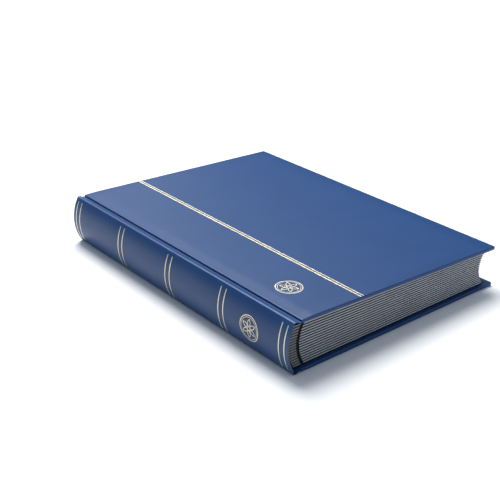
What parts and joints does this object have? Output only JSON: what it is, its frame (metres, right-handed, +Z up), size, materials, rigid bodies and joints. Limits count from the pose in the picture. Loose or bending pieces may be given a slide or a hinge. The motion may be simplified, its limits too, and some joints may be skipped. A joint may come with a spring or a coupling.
{
  "type": "stamp album",
  "caption": "Hardcover stamp stock book lying closed: rounded spine, grooved joints, leatherette covers with gold lines, and black card leaves on guards that fan open with the front cover.",
  "frame": {"origin": "centre of the closed album's outline, on the surface that it lies on", "axes": "+X from the spine to the fore-edge, +Y along the spine from tail to head, +Z up through the closed album"},
  "size_m": [0.2286, 0.3048, 0.0444],
  "materials": {
    "leatherette": "satin bonded leatherette with a fine pressed grain",
    "board": "grey bookbinding board",
    "endpaper": "matt black paper",
    "leaf_card": "matt black card with a linen hinge",
    "guard_card": "grey card guard bound into the back",
    "glassine": "translucent glassine paper",
    "back_lining": "glued mull and paper lining",
    "clear_film": "clear pocket film",
    "gold_foil": "hot-stamped gold foil"
  },
  "bodies": {
    "back_cover": {"back_leatherette": "leatherette", "back_board": "board", "back_pastedown": "endpaper", "spine_leatherette": "leatherette", "spine_liner": "board", "back_lining": "back_lining"},
    "front_cover": {"front_leatherette": "leatherette", "front_board": "board", "front_pastedown": "endpaper"},
    "page_01": {"leaf_01": "leaf_card", "guard_01": "guard_card", "interleaf_01": "glassine"},
    "page_02": {"leaf_02": "leaf_card", "guard_02": "guard_card", "interleaf_02": "glassine"},
    "page_03": {"leaf_03": "leaf_card", "guard_03": "guard_card", "interleaf_03": "glassine"},
    "page_04": {"leaf_04": "leaf_card", "guard_04": "guard_card", "interleaf_04": "glassine"},
    "page_05": {"leaf_05": "leaf_card", "guard_05": "guard_card", "interleaf_05": "glassine"},
    "page_06": {"leaf_06": "leaf_card", "guard_06": "guard_card", "interleaf_06": "glassine"},
    "page_07": {"leaf_07": "leaf_card", "guard_07": "guard_card", "interleaf_07": "glassine"},
    "page_08": {"leaf_08": "leaf_card", "guard_08": "guard_card", "interleaf_08": "glassine"},
    "page_09": {"leaf_09": "leaf_card", "guard_09": "guard_card", "interleaf_09": "glassine"},
    "page_10": {"leaf_10": "leaf_card", "guard_10": "guard_card", "interleaf_10": "glassine"},
    "page_11": {"leaf_11": "leaf_card", "guard_11": "guard_card", "interleaf_11": "glassine"},
    "page_12": {"leaf_12": "leaf_card", "guard_12": "guard_card", "interleaf_12": "glassine"},
    "page_13": {"leaf_13": "leaf_card", "guard_13": "guard_card", "interleaf_13": "glassine"},
    "page_14": {"leaf_14": "leaf_card", "guard_14": "guard_card", "interleaf_14": "glassine"},
    "page_15": {"leaf_15": "leaf_card", "guard_15": "guard_card", "interleaf_15": "glassine"},
    "page_16": {"leaf_16": "leaf_card", "guard_16": "guard_card", "interleaf_16": "glassine"},
    "back_flyleaf": {"back_flyleaf": "endpaper"},
    "front_flyleaf": {"front_flyleaf": "endpaper"}
  },
  "joints": [
    {"name": "front_cover_open", "type": "hinge", "parent": "back_cover", "child": "front_cover", "pos_m": [-0.1158, 0, 0.02249], "axis": [0, -1, 0], "range_deg": [0, 179], "deforming": ["spine_leatherette", "spine_liner", "back_lining"]},
    {"name": "page_01_turn", "type": "hinge", "parent": "back_cover", "child": "page_01", "pos_m": [-0.1158, 0, 0.02249], "axis": [0, -1, 0], "range_deg": [0, 6]},
    {"name": "page_02_turn", "type": "hinge", "parent": "back_cover", "child": "page_02", "pos_m": [-0.1158, 0, 0.02249], "axis": [0, -1, 0], "range_deg": [0, 12.4]},
    {"name": "page_03_turn", "type": "hinge", "parent": "back_cover", "child": "page_03", "pos_m": [-0.1158, 0, 0.02249], "axis": [0, -1, 0], "range_deg": [0, 20.7]},
    {"name": "page_04_turn", "type": "hinge", "parent": "back_cover", "child": "page_04", "pos_m": [-0.1158, 0, 0.02249], "axis": [0, -1, 0], "range_deg": [0, 30.7]},
    {"name": "page_05_turn", "type": "hinge", "parent": "back_cover", "child": "page_05", "pos_m": [-0.1158, 0, 0.02249], "axis": [0, -1, 0], "range_deg": [0, 42]},
    {"name": "page_06_turn", "type": "hinge", "parent": "back_cover", "child": "page_06", "pos_m": [-0.1158, 0, 0.02249], "axis": [0, -1, 0], "range_deg": [0, 54.3]},
    {"name": "page_07_turn", "type": "hinge", "parent": "back_cover", "child": "page_07", "pos_m": [-0.1158, 0, 0.02249], "axis": [0, -1, 0], "range_deg": [0, 67.5]},
    {"name": "page_08_turn", "type": "hinge", "parent": "back_cover", "child": "page_08", "pos_m": [-0.1158, 0, 0.02249], "axis": [0, -1, 0], "range_deg": [0, 81]},
    {"name": "page_09_turn", "type": "hinge", "parent": "back_cover", "child": "page_09", "pos_m": [-0.1158, 0, 0.02249], "axis": [0, -1, 0], "range_deg": [0, 94.8]},
    {"name": "page_10_turn", "type": "hinge", "parent": "back_cover", "child": "page_10", "pos_m": [-0.1158, 0, 0.02249], "axis": [0, -1, 0], "range_deg": [0, 108.4]},
    {"name": "page_11_turn", "type": "hinge", "parent": "back_cover", "child": "page_11", "pos_m": [-0.1158, 0, 0.02249], "axis": [0, -1, 0], "range_deg": [0, 121.7]},
    {"name": "page_12_turn", "type": "hinge", "parent": "back_cover", "child": "page_12", "pos_m": [-0.1158, 0, 0.02249], "axis": [0, -1, 0], "range_deg": [0, 134.3]},
    {"name": "page_13_turn", "type": "hinge", "parent": "back_cover", "child": "page_13", "pos_m": [-0.1158, 0, 0.02249], "axis": [0, -1, 0], "range_deg": [0, 145.8]},
    {"name": "page_14_turn", "type": "hinge", "parent": "back_cover", "child": "page_14", "pos_m": [-0.1158, 0, 0.02249], "axis": [0, -1, 0], "range_deg": [0, 156.1]},
    {"name": "page_15_turn", "type": "hinge", "parent": "back_cover", "child": "page_15", "pos_m": [-0.1158, 0, 0.02249], "axis": [0, -1, 0], "range_deg": [0, 164.9]},
    {"name": "page_16_turn", "type": "hinge", "parent": "back_cover", "child": "page_16", "pos_m": [-0.1158, 0, 0.02249], "axis": [0, -1, 0], "range_deg": [0, 171.8]},
    {"name": "back_flyleaf_turn", "type": "hinge", "parent": "back_cover", "child": "back_flyleaf", "pos_m": [-0.1158, 0, 0.02249], "axis": [0, -1, 0], "range_deg": [0, 2.5]},
    {"name": "front_flyleaf_turn", "type": "hinge", "parent": "back_cover", "child": "front_flyleaf", "pos_m": [-0.1158, 0, 0.02249], "axis": [0, -1, 0], "range_deg": [0, 175.7]}
  ],
  "couplings": [
    {"joint": "page_01_turn", "follows": "front_cover_open", "ratio": 0.0331},
    {"joint": "page_02_turn", "follows": "front_cover_open", "ratio": 0.0689},
    {"joint": "page_03_turn", "follows": "front_cover_open", "ratio": 0.1154},
    {"joint": "page_04_turn", "follows": "front_cover_open", "ratio": 0.1711},
    {"joint": "page_05_turn", "follows": "front_cover_open", "ratio": 0.2342},
    {"joint": "page_06_turn", "follows": "front_cover_open", "ratio": 0.3032},
    {"joint": "page_07_turn", "follows": "front_cover_open", "ratio": 0.3765},
    {"joint": "page_08_turn", "follows": "front_cover_open", "ratio": 0.4523},
    {"joint": "page_09_turn", "follows": "front_cover_open", "ratio": 0.5292},
    {"joint": "page_10_turn", "follows": "front_cover_open", "ratio": 0.6055},
    {"joint": "page_11_turn", "follows": "front_cover_open", "ratio": 0.6795},
    {"joint": "page_12_turn", "follows": "front_cover_open", "ratio": 0.7497},
    {"joint": "page_13_turn", "follows": "front_cover_open", "ratio": 0.8144},
    {"joint": "page_14_turn", "follows": "front_cover_open", "ratio": 0.872},
    {"joint": "page_15_turn", "follows": "front_cover_open", "ratio": 0.9208},
    {"joint": "page_16_turn", "follows": "front_cover_open", "ratio": 0.9594},
    {"joint": "back_flyleaf_turn", "follows": "front_cover_open", "ratio": 0.0137},
    {"joint": "front_flyleaf_turn", "follows": "front_cover_open", "ratio": 0.9811}
  ]
}
